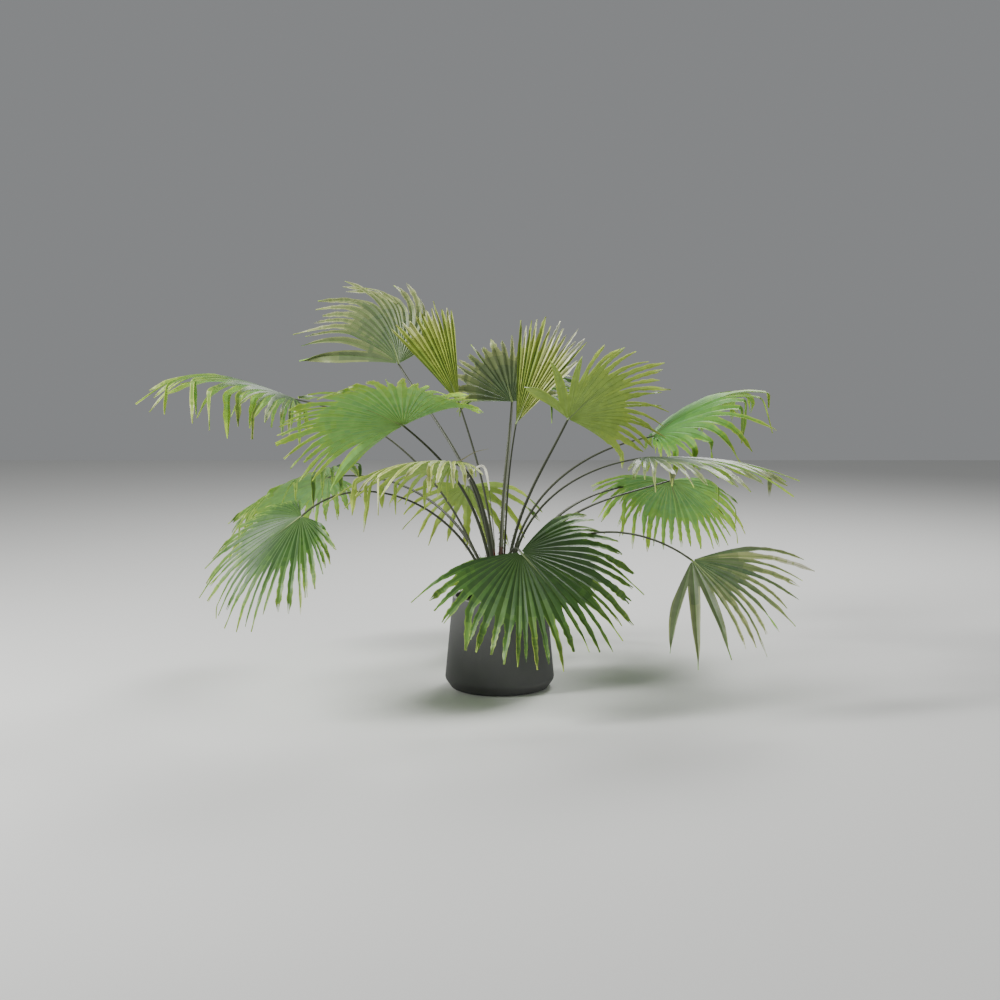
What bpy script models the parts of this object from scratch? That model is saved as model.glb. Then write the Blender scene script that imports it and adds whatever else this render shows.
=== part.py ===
"""Chinese fan palm growing in a round grey pot.

Metres, +Z up. The origin is the centre of the pot's flat underside. Seen from the front, +X
points to the plant's right and +Y to its back, and headings turn from +X towards +Y.
"""
import math
import random
from dataclasses import dataclass

import bmesh
import bpy
from mathutils import Vector
from mathutils.bvhtree import BVHTree

# The pot is widest just above its foot and draws in towards the rim
POT_HEIGHT = 0.258
POT_BELLY_RADIUS = 0.152
POT_BELLY_HEIGHT = 0.027
POT_RIM_RADIUS = 0.130
POT_FOOT_RADIUS = 0.133
POT_WALL = 0.008
POT_FLOOR = 0.014
LIP_ROUNDING = 0.002
POT_SIDES = 48
SMOOTH_BELOW = 35

# Potting soil fills the pot to a little below the rim
GAP = 0.0003
SOIL_TOP = 0.236
SOIL_CORNER = 0.012

# The short stem, which flares where it meets the soil
STEM_TOP = 0.318
STEM_FLARE_RADIUS = 0.040
STEM_FOOT_RADIUS = 0.030
STEM_TOP_RADIUS = 0.018
STEM_FLARE_HEIGHT = 0.016
STEM_SHOULDER = 0.006
STEM_SIDES = 20

# Petioles start up the stem in a spiral of ranks, the youngest at the top
RANK_DROP = 0.0040
YOUNGEST_BASE = 0.3200
PETIOLE_BASE_WIDTH = 0.0120
PETIOLE_BASE_DEPTH = 0.0075
PETIOLE_TIP_WIDTH = 0.0064
PETIOLE_TIP_DEPTH = 0.0050
PETIOLE_STATIONS = 9
PETIOLE_SEATING = 0.75
LAUNCH_PULL = 0.42
ARRIVE_PULL = 0.36
HUB_REACH = 0.012
STRAIGHT_END = 0.005
TOP_LEAVES = 3
TOP_LEAF_RADIUS = 0.010
TOP_LEAF_LIFT = 0.0012

# A limb's section as shares of its width and depth: a flat upper face over a round keel
LIMB_SECTION = ((-0.5, 0.30), (0.5, 0.30), (0.42, -0.15), (0.0, -0.5), (-0.42, -0.15))

# A petiole that turns through at least this many degrees is two pieces, parted at one station
WIDE_BEND = 75
PARTING = 4

# Blades: every rib is walked outwards in equal steps while its weight turns it down
BLADE_THICKNESS = 0.004
WALK_STEPS = 20
INNER_RING = 0.22
NOTCH_RING = 0.46
FREE_RINGS = (0.36, 0.70)
FREE_WIDTHS = (0.92, 0.62)
BEND_START = 0.46
BEND_END = 0.82
PLEAT_DEPTH = 0.0035
INNER_PLEAT = 0.6
LENGTH_SCATTER = 0.10
DROOP_SCATTER = 0.25
ANGLE_STEP = 0.01
SHARE_STEP = 0.02

# The costa carries the blade: it starts at the petiole's tip and thins out under the middle rib
COSTA_BACK = 0.003
COSTA_SHARES = (0.12, 0.30)
COSTA_DROP = 0.002
COSTA_END = 0.004

# A free segment that would touch a limb or an earlier blade is made shorter, or left out
CLEARANCE = 0.002
SHORTENING = 0.08
SEARCH_STEPS = 4

DOWN = Vector((0.0, 0.0, -1.0))
UP = Vector((0.0, 0.0, 1.0))


@dataclass
class Frond:
    """One leaf: where its hub is, how its petiole rises, and how its blade lies."""
    name: str
    hub: tuple
    launch: float       # rise of the petiole where it leaves the stem, in degrees
    arrive: float       # rise of the petiole where it meets the blade
    rank: int           # place in the spiral, 0 for the youngest
    heading: float      # compass heading of the middle rib
    pitch: float        # its rise above level
    roll: float         # turn about the middle rib, lowering the blade's right side
    radius: float       # length of the middle segments
    spread: float       # angle from the middle rib to either edge of the blade
    segments: int
    sag: float = 0.5    # even droop of a level rib, in radians
    hang: float = 0.4   # sharper droop of the free part
    trim: tuple = (0.15, 0.15)  # how much shorter the outermost segments are, left and right
    drift: tuple = (0.0, 0.0, 0.0)  # sideways pull on the ribs, in shares of their weight


FRONDS = (
    Frond("front_low", (0.055, -0.28, 0.420), 74, -10, 17, -46, -33, 22, 0.41, 116, 18, sag=0.55, hang=0.25,
          trim=(0.22, 0.22)),
    Frond("right_low", (0.500, -0.32, 0.405), 62, -30, 15, -42, -30, 40, 0.34, 68, 12, sag=0.5, hang=0.3,
          trim=(0.0, 0.1)),
    Frond("right_back", (0.500, 0.36, 0.535), 58, 10, 12, 65, -42, 0, 0.32, 114, 16, sag=0.7, hang=0.4),
    Frond("right_level", (0.395, -0.18, 0.660), 86, 8, 10, -12, 3, -4, 0.46, 108, 16, sag=0.35, hang=0.25,
          trim=(0.72, 0.72)),
    Frond("right_high", (0.430, 0.10, 0.690), 88, 8, 8, 4, 41, 5, 0.46, 96, 17, sag=0.9, hang=0.5,
          trim=(0.75, 0.95), drift=(0.0, 0.3, 0.0)),
    Frond("front_high", (0.180, -0.22, 0.765), 78, 55, 5, -14, 45, -36, 0.32, 84, 17, sag=0.4, hang=0.3,
          trim=(0.0, 0.1)),
    Frond("young_right", (0.045, 0.00, 0.735), 87, 80, 0, 0, 67, 90, 0.34, 22, 7, sag=0.05, hang=0.1,
          trim=(0.1, 0.1)),
    Frond("back_high", (0.035, 0.20, 0.780), 84, 75, 2, 120, 62, 0, 0.23, 86, 12, sag=0.1, hang=0.1),
    Frond("young_left", (-0.110, -0.02, 0.790), 85, 72, 1, 180, 68, -90, 0.31, 19, 7, sag=0.1, hang=0.1,
          trim=(0.1, 0.1)),
    Frond("left_high", (-0.295, 0.34, 0.880), 82, 45, 4, 122, 72, -30, 0.37, 74, 14, sag=0.35, hang=0.3,
          trim=(0.18, 0.55), drift=(-3.5, 0.0, 0.0)),
    Frond("left_upper", (-0.250, -0.30, 0.755), 78, 32, 7, -144, 26, 27, 0.375, 92, 18, sag=0.4, hang=0.3,
          trim=(0.1, 0.1)),
    Frond("left_far", (-0.565, 0.02, 0.800), 70, 10, 9, 180, 24, 8, 0.48, 112, 16, sag=0.55, hang=0.6,
          trim=(0.68, 0.68)),
    Frond("left_low_back", (-0.505, 0.36, 0.545), 70, -10, 13, 188, -17, 22, 0.42, 124, 16, sag=0.5, hang=0.4,
          trim=(0.3, 0.5)),
    Frond("left_low_front", (-0.515, -0.32, 0.520), 76, -38, 16, 198, -33, -20, 0.40, 114, 18, sag=0.5,
          hang=0.3, trim=(0.68, 0.68)),
    Frond("left_near", (-0.125, -0.34, 0.660), 74, 5, 11, 195, 5, 15, 0.36, 118, 16, sag=0.6, hang=0.4,
          trim=(0.65, 0.65)),
    Frond("back_middle", (-0.095, 0.44, 0.510), 66, 0, 14, 92, -40, 0, 0.30, 112, 12, sag=0.6, hang=0.3),
    Frond("back_low", (0.060, 0.44, 0.290), 50, -25, 19, 85, -35, 0, 0.30, 106, 12, sag=0.5, hang=0.3),
    Frond("back_right", (0.500, 0.58, 0.510), 60, 0, 18, 45, -15, 0, 0.28, 106, 12, sag=0.8, hang=0.4),
    Frond("back_upper", (0.040, 0.50, 0.790), 76, 45, 6, 65, 30, 0, 0.26, 100, 12, sag=0.6, hang=0.4),
)


def clear_scene():
    for thing in list(bpy.data.objects):
        bpy.data.objects.remove(thing, do_unlink=True)


def finish_material(name, colour, roughness, metallic=0.0):
    finish = bpy.data.materials.new(name)
    finish.use_nodes = True
    shader = finish.node_tree.nodes["Principled BSDF"]
    shader.inputs["Base Color"].default_value = (*colour, 1.0)
    shader.inputs["Roughness"].default_value = roughness
    shader.inputs["Metallic"].default_value = metallic
    finish.diffuse_color = (*colour, 1.0)
    return finish


def pot_material():
    return finish_material("pot_grey", (0.16, 0.16, 0.16), 0.75)


def soil_material():
    return finish_material("potting_soil", (0.035, 0.026, 0.020), 0.95)


def stem_material():
    return finish_material("stem_fibre", (0.13, 0.065, 0.035), 0.9)


def petiole_material():
    return finish_material("petiole_green", (0.22, 0.24, 0.15), 0.5)


def blade_material():
    return finish_material("blade_green", (0.10, 0.22, 0.05), 0.45)


def add_object(name, mesh, finish):
    mesh.materials.clear()
    mesh.materials.append(finish)
    piece = bpy.data.objects.new(name, mesh)
    bpy.context.scene.collection.objects.link(piece)
    return piece


def closed_mesh(name, points, faces):
    """A mesh of triangles whose faces are turned to point outwards."""
    bm = bmesh.new()
    corners = [bm.verts.new(point) for point in points]
    for face in faces:
        bm.faces.new([corners[i] for i in face])
    bmesh.ops.triangulate(bm, faces=bm.faces[:])
    bmesh.ops.recalc_face_normals(bm, faces=bm.faces[:])
    mesh = bpy.data.meshes.new(name)
    bm.to_mesh(mesh)
    bm.free()
    return mesh


def turned_mesh(name, profile, sides):
    """Spins an outline of (radius, height) about Z; both of its ends are on the axis."""
    points = [Vector((0.0, 0.0, profile[0][1]))]
    rings = []
    for radius, height in profile[1:-1]:
        rings.append(len(points))
        for k in range(sides):
            turn = 2 * math.pi * k / sides
            points.append(Vector((radius * math.cos(turn), radius * math.sin(turn), height)))
    last = len(points)
    points.append(Vector((0.0, 0.0, profile[-1][1])))
    faces = []
    for k in range(sides):
        after = (k + 1) % sides
        faces.append((0, rings[0] + after, rings[0] + k))
        faces.append((last, rings[-1] + k, rings[-1] + after))
        for low, high in zip(rings, rings[1:]):
            faces.append((low + k, low + after, high + after, high + k))
    mesh = closed_mesh(name, points, faces)
    mesh.shade_smooth()
    mesh.set_sharp_from_angle(angle=math.radians(SMOOTH_BELOW))
    return mesh


def make_pot():
    inner_rim = POT_RIM_RADIUS - POT_WALL
    inner_belly = POT_BELLY_RADIUS - POT_WALL
    inner_foot = POT_FOOT_RADIUS - POT_WALL
    profile = [
        (0.0, 0.0),
        (POT_FOOT_RADIUS, 0.0),
        (POT_BELLY_RADIUS, POT_BELLY_HEIGHT),
        (POT_RIM_RADIUS, POT_HEIGHT - LIP_ROUNDING),
        (POT_RIM_RADIUS - LIP_ROUNDING, POT_HEIGHT),
        (inner_rim + LIP_ROUNDING, POT_HEIGHT),
        (inner_rim, POT_HEIGHT - LIP_ROUNDING),
        (inner_belly, POT_BELLY_HEIGHT + POT_WALL),
        (inner_foot, POT_FLOOR),
        (0.0, POT_FLOOR),
    ]
    return add_object("pot", turned_mesh("pot", profile, POT_SIDES), pot_material())


def inner_radius(height):
    """The inside radius of the pot above its belly."""
    low = POT_BELLY_HEIGHT + POT_WALL
    high = POT_HEIGHT - LIP_ROUNDING
    share = (height - low) / (high - low)
    wide = POT_BELLY_RADIUS - POT_WALL
    return wide + share * (POT_RIM_RADIUS - POT_WALL - wide)


def make_soil():
    slack = 2 * GAP
    profile = [
        (0.0, POT_FLOOR + GAP),
        (POT_FOOT_RADIUS - POT_WALL - slack, POT_FLOOR + GAP),
        (POT_BELLY_RADIUS - POT_WALL - slack, POT_BELLY_HEIGHT + POT_WALL),
        (inner_radius(SOIL_TOP - SOIL_CORNER) - slack, SOIL_TOP - SOIL_CORNER),
        (inner_radius(SOIL_TOP) - SOIL_CORNER, SOIL_TOP),
        (0.0, SOIL_TOP),
    ]
    return add_object("soil", turned_mesh("soil", profile, POT_SIDES), soil_material())


def make_stem():
    foot = SOIL_TOP + GAP
    profile = [
        (0.0, foot),
        (STEM_FLARE_RADIUS, foot),
        (STEM_FOOT_RADIUS, foot + STEM_FLARE_HEIGHT),
        (STEM_TOP_RADIUS, STEM_TOP - STEM_SHOULDER),
        (STEM_TOP_RADIUS - STEM_SHOULDER, STEM_TOP),
        (0.0, STEM_TOP),
    ]
    return add_object("stem", turned_mesh("stem", profile, STEM_SIDES), stem_material())


def stem_radius(height):
    low = SOIL_TOP + GAP + STEM_FLARE_HEIGHT
    share = (height - low) / (STEM_TOP - low)
    return STEM_FOOT_RADIUS + share * (STEM_TOP_RADIUS - STEM_FOOT_RADIUS)


def heading_vector(heading, pitch):
    turn = math.radians(heading)
    rise = math.radians(pitch)
    return Vector((math.cos(turn) * math.cos(rise), math.sin(turn) * math.cos(rise), math.sin(rise)))


def curve_points(p0, p1, p2, p3, count):
    """Points along a cubic curve from p0 to p3."""
    points = []
    for k in range(count):
        t = k / (count - 1)
        s = 1 - t
        points.append(s * s * s * p0 + 3 * s * s * t * p1 + 3 * s * t * t * p2 + t * t * t * p3)
    return points


def petiole_line(frond):
    """The middle line of a petiole, from the stem to just short of the blade's hub."""
    hub = Vector(frond.hub)
    bearing = math.degrees(math.atan2(hub.y, hub.x))
    height = YOUNGEST_BASE - RANK_DROP * frond.rank
    if frond.rank < TOP_LEAVES:
        base = heading_vector(bearing, 0) * TOP_LEAF_RADIUS + UP * (STEM_TOP + TOP_LEAF_LIFT)
    else:
        stand_off = stem_radius(height) + PETIOLE_BASE_DEPTH * PETIOLE_SEATING
        base = heading_vector(bearing, 0) * stand_off + UP * height
    arrive = heading_vector(bearing, frond.arrive)
    tip = hub - arrive * HUB_REACH
    end = tip - arrive * STRAIGHT_END
    reach = (end - base).length
    launch = heading_vector(bearing, frond.launch)
    rising = base + launch * reach * LAUNCH_PULL
    falling = end - arrive * reach * ARRIVE_PULL
    return curve_points(base, rising, falling, end, PETIOLE_STATIONS) + [tip]


def limb_rings(line, start_size, end_size):
    """The section at each point of a tapering limb; sizes are (width, depth)."""
    rings = []
    for k, place in enumerate(line):
        ahead = line[min(k + 1, len(line) - 1)]
        behind = line[max(k - 1, 0)]
        along = (ahead - behind).normalized()
        side = along.cross(UP).normalized()
        raised = side.cross(along)
        share = k / (len(line) - 1)
        width = start_size[0] + share * (end_size[0] - start_size[0])
        depth = start_size[1] + share * (end_size[1] - start_size[1])
        rings.append([place + side * width * u + raised * depth * v for u, v in LIMB_SECTION])
    return rings


def limb_mesh(name, rings):
    sides = len(LIMB_SECTION)
    last = sides * (len(rings) - 1)
    faces = [tuple(range(sides)), tuple(last + k for k in reversed(range(sides)))]
    for row in range(len(rings) - 1):
        low = row * sides
        for k in range(sides):
            after = (k + 1) % sides
            faces.append((low + k, low + after, low + sides + after, low + sides + k))
    return closed_mesh(name, [point for ring in rings for point in ring], faces)


def make_petiole(frond, finish):
    """One tapering limb, or a lower and an upper one where the petiole arches over wide."""
    name = "petiole_" + frond.name
    line = petiole_line(frond)
    rings = limb_rings(line, (PETIOLE_BASE_WIDTH, PETIOLE_BASE_DEPTH), (PETIOLE_TIP_WIDTH, PETIOLE_TIP_DEPTH))
    if frond.launch - frond.arrive < WIDE_BEND:
        return [add_object(name, limb_mesh(name, rings), finish)]
    step = (line[PARTING + 1] - line[PARTING - 1]).normalized() * (GAP / 2)
    lower = rings[:PARTING] + [[point - step for point in rings[PARTING]]]
    upper = [[point + step for point in rings[PARTING]]] + rings[PARTING + 1:]
    return [add_object(name + "_lower", limb_mesh(name + "_lower", lower), finish),
            add_object(name + "_upper", limb_mesh(name + "_upper", upper), finish)]


def blade_axes(frond):
    """The middle rib's direction, the blade's right side and its upper normal."""
    axis = heading_vector(frond.heading, frond.pitch)
    level_side = axis.cross(UP).normalized()
    level_normal = level_side.cross(axis)
    roll = math.radians(frond.roll)
    side = level_side * math.cos(roll) - level_normal * math.sin(roll)
    normal = level_normal * math.cos(roll) + level_side * math.sin(roll)
    return axis, side, normal


def walk_rib(frond, angle, limp=1.0):
    """Equal steps along the rib that leaves the hub at an angle from the middle rib."""
    axis, side, _ = blade_axes(frond)
    heading = axis * math.cos(angle) + side * math.sin(angle)
    share = angle / math.radians(frond.spread)
    trim = frond.trim[0] if angle < 0 else frond.trim[1]
    step = frond.radius * (1 - trim * share * share) / WALK_STEPS
    place = Vector(frond.hub)
    places = [place.copy()]
    load = DOWN + Vector(frond.drift)
    bend_steps = (BEND_END - BEND_START) * WALK_STEPS
    for k in range(WALK_STEPS):
        turn = frond.sag / WALK_STEPS
        if BEND_START < (k + 0.5) / WALK_STEPS < BEND_END:
            turn += limp * frond.hang / bend_steps
        pull = load - heading * load.dot(heading)
        heading = (heading + pull * turn).normalized()
        place = place + heading * step
        places.append(place.copy())
    return places


def along_rib(places, share):
    """A point at a share of the rib's length."""
    at = min(share, 1.0) * WALK_STEPS
    low = min(int(at), WALK_STEPS - 1)
    return places[low].lerp(places[low + 1], at - low)


def rib_frame(frond, angle, share, limp=1.0):
    """The point at a share of a rib, with the blade's side and upper normal there."""
    here = walk_rib(frond, angle, limp)
    left = along_rib(walk_rib(frond, angle - ANGLE_STEP, limp), share)
    right = along_rib(walk_rib(frond, angle + ANGLE_STEP, limp), share)
    side = (right - left).normalized()
    before = along_rib(here, share - SHARE_STEP)
    after = along_rib(here, share + SHARE_STEP)
    forward = (after - before).normalized()
    return along_rib(here, share), side, side.cross(forward).normalized()


def blade_sheet(frond, reaches):
    """The pleated blade, closed: fused near the hub, cut into segments beyond the notches."""
    count = frond.segments
    spread = math.radians(frond.spread)
    angles = [-spread + spread * j / count for j in range(2 * count + 1)]
    _, _, hub_normal = blade_axes(frond)
    middle = [Vector(frond.hub)]
    normals = [hub_normal]
    faces = []

    def ring(share, lift):
        start = len(middle)
        for j, angle in enumerate(angles):
            place, _, normal = rib_frame(frond, angle, share)
            middle.append(place + normal * (lift if j % 2 else -lift))
            normals.append(normal)
        return start

    inner = ring(INNER_RING, PLEAT_DEPTH * INNER_PLEAT)
    notch = ring(NOTCH_RING, PLEAT_DEPTH)
    for j in range(2 * count):
        faces.append((0, inner + j, inner + j + 1))
        if j % 2:
            faces.append((inner + j, notch + j, notch + j + 1))
            faces.append((inner + j, notch + j + 1, inner + j + 1))
        else:
            faces.append((inner + j, notch + j, inner + j + 1))
            faces.append((inner + j + 1, notch + j, notch + j + 1))
    for i in range(count):
        reach, limp = reaches[i]
        if reach <= NOTCH_RING:
            continue
        rib = 2 * i + 1
        half = 0.5 * (middle[notch + rib + 1] - middle[notch + rib - 1]).length
        left, right = notch + rib - 1, notch + rib + 1
        for row, (ring_share, width) in enumerate(zip(FREE_RINGS, FREE_WIDTHS)):
            share = NOTCH_RING + (reach - NOTCH_RING) * ring_share
            place, side, normal = rib_frame(frond, angles[rib], share, limp)
            new = len(middle)
            middle.extend([place - side * half * width, place + side * half * width])
            normals.extend([normal, normal])
            if row == 0:
                faces.append((left, notch + rib, new))
                faces.append((notch + rib, new + 1, new))
                faces.append((notch + rib, right, new + 1))
            else:
                faces.append((left, right, new + 1))
                faces.append((left, new + 1, new))
            left, right = new, new + 1
        place, _, normal = rib_frame(frond, angles[rib], reach, limp)
        faces.append((left, right, len(middle)))
        middle.append(place)
        normals.append(normal)
    return thicken(frond.name, middle, normals, faces)


def thicken(name, middle, normals, faces):
    """Closes a sheet of triangles with a second skin and walls round its edge."""
    half = BLADE_THICKNESS / 2
    count = len(middle)
    points = [p + n * half for p, n in zip(middle, normals)]
    points += [p - n * half for p, n in zip(middle, normals)]
    uses = {}
    for a, b, c in faces:
        for edge in ((a, b), (b, c), (c, a)):
            key = tuple(sorted(edge))
            uses[key] = uses.get(key, 0) + 1
    skins = list(faces) + [tuple(count + i for i in reversed(face)) for face in faces]
    for (a, b), used in uses.items():
        if used == 1:
            skins.append((a, b, count + b, count + a))
    return closed_mesh(name, points, skins)


def segment_hull(frond, angle, half, reach, limp):
    """A search tree over a free segment, with the clearance added all round."""
    points = []
    for step in range(SEARCH_STEPS + 1):
        share = NOTCH_RING + (reach - NOTCH_RING) * step / SEARCH_STEPS
        place, side, normal = rib_frame(frond, angle, share, limp)
        out = side * (half + CLEARANCE)
        up = normal * (BLADE_THICKNESS / 2 + CLEARANCE)
        points += [place - out - up, place + out - up, place + out + up, place - out + up]
    faces = [(4 * row + k, 4 * row + (k + 1) % 4, 4 * row + 4 + (k + 1) % 4, 4 * row + 4 + k)
             for row in range(SEARCH_STEPS) for k in range(4)]
    return BVHTree.FromPolygons(points, faces)


def segment_reaches(frond, seed, obstacles):
    """How far each segment runs before its tip or the first thing in its way, and how limp it is."""
    chance = random.Random(seed)
    spread = math.radians(frond.spread)
    width = 2 * spread / frond.segments
    reaches = []
    for i in range(frond.segments):
        angle = -spread + width * (i + 0.5)
        reach = 1.0 - LENGTH_SCATTER * chance.random()
        limp = 1.0 + DROOP_SCATTER * (2 * chance.random() - 1)
        edge = [along_rib(walk_rib(frond, angle + turn), NOTCH_RING) for turn in (-width / 2, width / 2)]
        half = 0.5 * (edge[1] - edge[0]).length
        while reach > NOTCH_RING:
            hull = segment_hull(frond, angle, half, reach, limp)
            if not any(hull.overlap(tree) for tree in obstacles):
                break
            reach -= SHORTENING
        reaches.append((reach, limp))
    return reaches


def search_tree(piece):
    mesh = piece.data
    return BVHTree.FromPolygons([v.co for v in mesh.vertices], [p.vertices[:] for p in mesh.polygons])


def make_frond(frond, seed, finish, obstacles):
    """A blade with the costa that carries it, joined into one solid."""
    reaches = segment_reaches(frond, seed, obstacles)
    bearing = math.degrees(math.atan2(frond.hub[1], frond.hub[0]))
    arrive = heading_vector(bearing, frond.arrive)
    middle_rib = walk_rib(frond, 0.0)
    line = [Vector(frond.hub) - arrive * (HUB_REACH - GAP), Vector(frond.hub) - arrive * COSTA_BACK]
    _, _, normal = blade_axes(frond)
    for share in COSTA_SHARES:
        line.append(along_rib(middle_rib, share) - normal * COSTA_DROP)
    rings = limb_rings(line, (PETIOLE_TIP_WIDTH, PETIOLE_TIP_DEPTH), (COSTA_END, COSTA_END))
    costa = limb_mesh("costa", rings)
    group = bpy.data.collections.new("joined_" + frond.name)
    bpy.context.scene.collection.children.link(group)
    sheet = bpy.data.objects.new("sheet_" + frond.name, blade_sheet(frond, reaches))
    group.objects.link(sheet)
    frond_object = add_object("frond_" + frond.name, costa, finish)
    union = frond_object.modifiers.new("join", 'BOOLEAN')
    union.operation = 'UNION'
    union.operand_type = 'COLLECTION'
    union.collection = group
    union.solver = 'EXACT'
    bpy.context.view_layer.update()
    evaluated = frond_object.evaluated_get(bpy.context.evaluated_depsgraph_get())
    joined = bpy.data.meshes.new_from_object(evaluated)
    frond_object.modifiers.clear()
    frond_object.data = joined
    joined.materials.clear()
    joined.materials.append(finish)
    bpy.data.objects.remove(sheet, do_unlink=True)
    bpy.data.collections.remove(group)
    return frond_object


def main():
    clear_scene()
    obstacles = [search_tree(make_pot()), search_tree(make_soil()), search_tree(make_stem())]
    petiole_finish = petiole_material()
    blade_finish = blade_material()
    for frond in FRONDS:
        obstacles += [search_tree(limb) for limb in make_petiole(frond, petiole_finish)]
    for seed, frond in enumerate(FRONDS):
        obstacles.append(search_tree(make_frond(frond, seed, blade_finish, obstacles)))


main()
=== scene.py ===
"""Chinese fan palm in a round grey pot: the look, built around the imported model.

Metres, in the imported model's own frame: +X to the plant's right as the camera sees it, +Y to its
back, +Z up, with the origin under the middle of the pot. Headings turn from +X towards +Y.
"""
import math
from dataclasses import dataclass

import bpy
import numpy as np
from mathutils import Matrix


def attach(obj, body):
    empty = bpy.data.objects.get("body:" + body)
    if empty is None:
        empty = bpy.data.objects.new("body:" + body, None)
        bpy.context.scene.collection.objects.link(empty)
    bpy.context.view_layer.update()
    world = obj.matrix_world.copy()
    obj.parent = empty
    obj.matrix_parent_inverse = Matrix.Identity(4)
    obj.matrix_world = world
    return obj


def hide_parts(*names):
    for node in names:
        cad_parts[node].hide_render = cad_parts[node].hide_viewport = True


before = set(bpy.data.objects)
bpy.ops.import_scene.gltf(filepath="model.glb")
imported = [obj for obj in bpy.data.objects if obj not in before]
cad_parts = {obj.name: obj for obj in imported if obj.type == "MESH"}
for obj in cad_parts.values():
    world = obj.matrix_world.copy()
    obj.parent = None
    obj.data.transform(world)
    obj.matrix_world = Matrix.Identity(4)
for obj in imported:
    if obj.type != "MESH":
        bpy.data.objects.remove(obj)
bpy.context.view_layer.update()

UP = np.array((0.0, 0.0, 1.0))
DOWN = -UP

# The camera of the photo: its lens in pixels of a 1000-pixel frame, and how far it looks down
LENS_PX = 1944
FRAME_PX = 1000
SENSOR_MM = 36
CAMERA_PITCH = 7.2
CAMERA_TARGET = (0.001, 0.0, 0.523)
CAMERA_DISTANCE = 5.36

# Studio: name, place, target, watts and width of each light, and the floor under the pot
LIGHTS = (
    ("key", (-3.2, -1.2, 2.8), (0.0, 0.0, 0.5), 260, 1.2),
    ("fill", (2.4, -3.0, 2.2), (0.0, 0.0, 0.5), 36, 2.2),
    ("top_back", (1.2, 2.6, 3.2), (0.0, 0.0, 0.6), 150, 1.6),
)
SKY_COLOUR = (0.80, 0.82, 0.84, 1.0)
SKY_STRENGTH = 0.30
FLOOR_HALF = 6.0
FLOOR_COLOUR = (0.62, 0.62, 0.60)
FLOOR_ROUGHNESS = 0.9

# Finishes
MOTTLE_FROM = 0.3
MOTTLE_TO = 0.7
BUMP_HEIGHT = 0.001
LEAF_MOTTLE = 0.12
LEAF_MOTTLE_SCALE = 38.0
LEAF_BUMP = 0.35
LEAF_BUMP_SCALE = 420.0
LEAF_SPECULAR = 0.28
LEAF_SHEEN_ROUGHNESS = 0.4
STALK_SHARP_ANGLE = 75

# The highest phase of a random wave
PHASE = 6.28

# Pot and soil
POT_HEIGHT = 0.258
POT_BELLY_RADIUS = 0.152
POT_BELLY_HEIGHT = 0.027
POT_RIM_RADIUS = 0.130
POT_FOOT_RADIUS = 0.133
POT_WALL = 0.008
POT_LIP = 0.0022
POT_SIDES = 160
POT_FOOT_ROUNDING = 0.007
POT_RIM_ROUNDING = 0.0018
POT_INSIDE_WIDENING = 0.004
POT_INSIDE_DEPTH = 0.030
AXIS_GAP = 0.0005
ROUNDING_LIMIT = 0.48
SOIL_TOP = 0.236
SOIL_SEED = 11
SOIL_RINGS = 36
SOIL_SIDES = 96
SOIL_MIDDLE = 0.004
SOIL_SLACK = 0.001
SOIL_WAVES = 40
SOIL_WAVE_RATES = (60, 140, 260)
SOIL_WAVE_SIZES = (0.2, 1.0)
SOIL_RELIEF = 0.00035
SOIL_SINK = 0.0015
SOIL_THICKNESS = 0.02

# Stem
STEM_TOP = 0.318
STEM_FLARE_RADIUS = 0.040
STEM_FOOT_RADIUS = 0.030
STEM_TOP_RADIUS = 0.018
STEM_FLARE_HEIGHT = 0.016
STEM_SEED = 5
STEM_STATIONS = 60
STEM_SIDES = 72
STEM_WAVES = 30
STEM_WAVE_RATE = 60
STEM_FIBRES_ROUND = (6, 30)
STEM_SINK = 0.0005
STEM_RELIEF = 0.00022
STEM_RELIEF_FROM = 0.01
STEM_CLOSING = (0.8, 0.45, 0.02)

# Petioles
RANK_DROP = 0.0040
YOUNGEST_BASE = 0.3200
PETIOLE_BASE_WIDTH = 0.0120
PETIOLE_BASE_DEPTH = 0.0075
PETIOLE_TIP_WIDTH = 0.0064
PETIOLE_TIP_DEPTH = 0.0050
PETIOLE_SEATING = 0.75
PETIOLE_STATIONS = 68
LAUNCH_PULL = 0.42
ARRIVE_PULL = 0.36
PETIOLE_END_GAP = 0.002
PETIOLE_SEED = 100
TOP_LEAVES = 3
TOP_LEAF_RADIUS = 0.010
TOP_LEAF_LIFT = 0.0012
COSTA_STATIONS = 9
COSTA_REACH = 0.32
COSTA_LEAD = 2
COSTA_BLEND = 4
COSTA_NARROWING = 0.85
COSTA_THINNING = 0.65
SHEATH_LENGTH = 0.066
SHEATH_WIDENING = 0.014
SHEATH_CURVE = 1.5
SPINE_LENGTH = 0.0085
SPINE_WIDTH = 0.0032
SPINE_SPACING = 0.017
SPINE_SPACING_SCATTER = (0.75, 1.5)
SPINE_SHRINKING = 0.55
SPINE_SINK = 0.001
SPINE_TIP_BACK = 0.001
SPINE_BACKWARD = 0.55
SPINE_RISE = 0.12
SPINE_ROOT = (0.46, 0.2)
SPINY_FROM = 0.8
SPINY_SHARE = 0.5

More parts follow.
